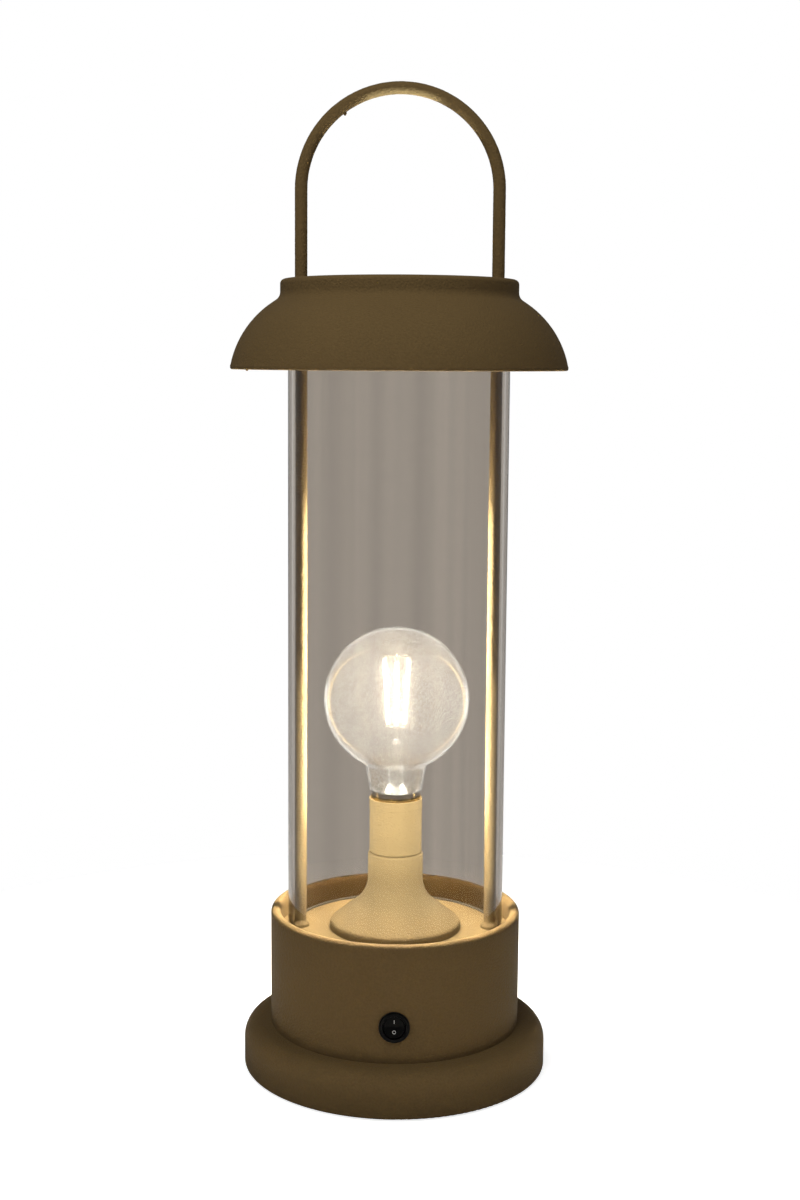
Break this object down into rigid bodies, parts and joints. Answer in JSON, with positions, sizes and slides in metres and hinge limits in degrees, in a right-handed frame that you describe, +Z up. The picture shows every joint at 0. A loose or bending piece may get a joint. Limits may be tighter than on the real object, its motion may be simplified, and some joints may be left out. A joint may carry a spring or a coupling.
{
  "type": "lantern table lamp",
  "caption": "Lantern table lamp: glass tube on a round base under a domed roof, hoop handle, globe bulb on a trumpet stand and a rocker switch.",
  "frame": {"origin": "on the table under the lamp's vertical axis", "axes": "+Z up; the switch faces -Y; the legs of the hoop stand on the X axis"},
  "size_m": [0.2158, 0.2158, 0.64],
  "materials": {
    "powder_coat": "fine sand texture powder coat, satin, olive beige",
    "cast_iron_weight": "raw casting, black",
    "steel_plate": "black painted sheet",
    "rubber_pad": "matt black",
    "steel_hardware": "zinc plated",
    "clear_silicone": "translucent silicone",
    "tinted_glass": "clear smooth tube with a light smoke tint",
    "nylon": "moulded nylon in the colour of the lamp",
    "holder_ceramic": "white glazed ceramic",
    "holder_brass": "bright brass",
    "bulb_glass": "clear blown glass",
    "cap_metal": "nickel plated, bright",
    "black_insulator": "black glass",
    "driver_resin": "white potting",
    "filament_phosphor": "yellow phosphor coating, lit",
    "support_wire": "nickel wire",
    "black_plastic": "moulded, fine satin",
    "lead_sleeve": "brown sleeved lead"
  },
  "bodies": {
    "base": {"base_foot": "powder_coat", "drum_shell": "powder_coat", "deck_plate": "powder_coat", "hoop": "powder_coat", "lamp_stand": "powder_coat", "holder_sleeve": "powder_coat", "holder_ring": "powder_coat", "base_weight": "cast_iron_weight", "bottom_plate": "steel_plate", "foot_pads": "rubber_pad", "plate_spacers": "steel_hardware", "plate_screws": "steel_hardware", "tie_posts": "steel_hardware", "tie_screws": "steel_hardware", "hoop_washers": "steel_hardware", "hoop_nuts": "steel_hardware", "glass_seat": "clear_silicone", "stop_collars": "steel_hardware", "collar_set_screws": "steel_hardware", "threaded_tube": "steel_hardware", "tube_washer": "steel_hardware", "tube_nut": "steel_hardware", "holder_insulator": "holder_ceramic", "holder_screw_shell": "holder_brass", "centre_contact": "holder_brass", "shell_contact": "holder_brass", "switch_housing": "black_plastic", "switch_terminals": "holder_brass", "cord_gland": "black_plastic", "gland_nut": "black_plastic", "terminal_block": "holder_ceramic", "terminal_clamps": "holder_brass", "block_screw": "steel_hardware", "inner_leads": "lead_sleeve"},
    "roof": {"roof_shell": "powder_coat", "roof_bushes": "nylon"},
    "glass": {"glass_tube": "tinted_glass"},
    "bulb": {"bulb_globe": "bulb_glass", "bulb_cap": "cap_metal", "cap_insulator": "black_insulator", "cap_tip": "holder_brass", "bulb_driver": "driver_resin", "bulb_stem": "bulb_glass", "filaments": "filament_phosphor", "filament_supports": "support_wire"},
    "rocker": {"switch_rocker": "black_plastic"}
  },
  "joints": [
    {"name": "roof_lift", "type": "slide", "parent": "base", "child": "roof", "axis": [0, 0, 1], "range_m": [0, 0.055]},
    {"name": "glass_lift", "type": "slide", "parent": "base", "child": "glass", "axis": [0, 0, 1], "range_m": [0, 0.012]},
    {"name": "bulb_removal", "type": "slide", "parent": "base", "child": "bulb", "axis": [0, 0, 1], "range_m": [0, 0.028]},
    {"name": "rocker_tilt", "type": "hinge", "parent": "base", "child": "rocker", "pos_m": [0, -0.08068, 0.0538], "axis": [1, 0, 0], "range_deg": [0, 20]}
  ]
}
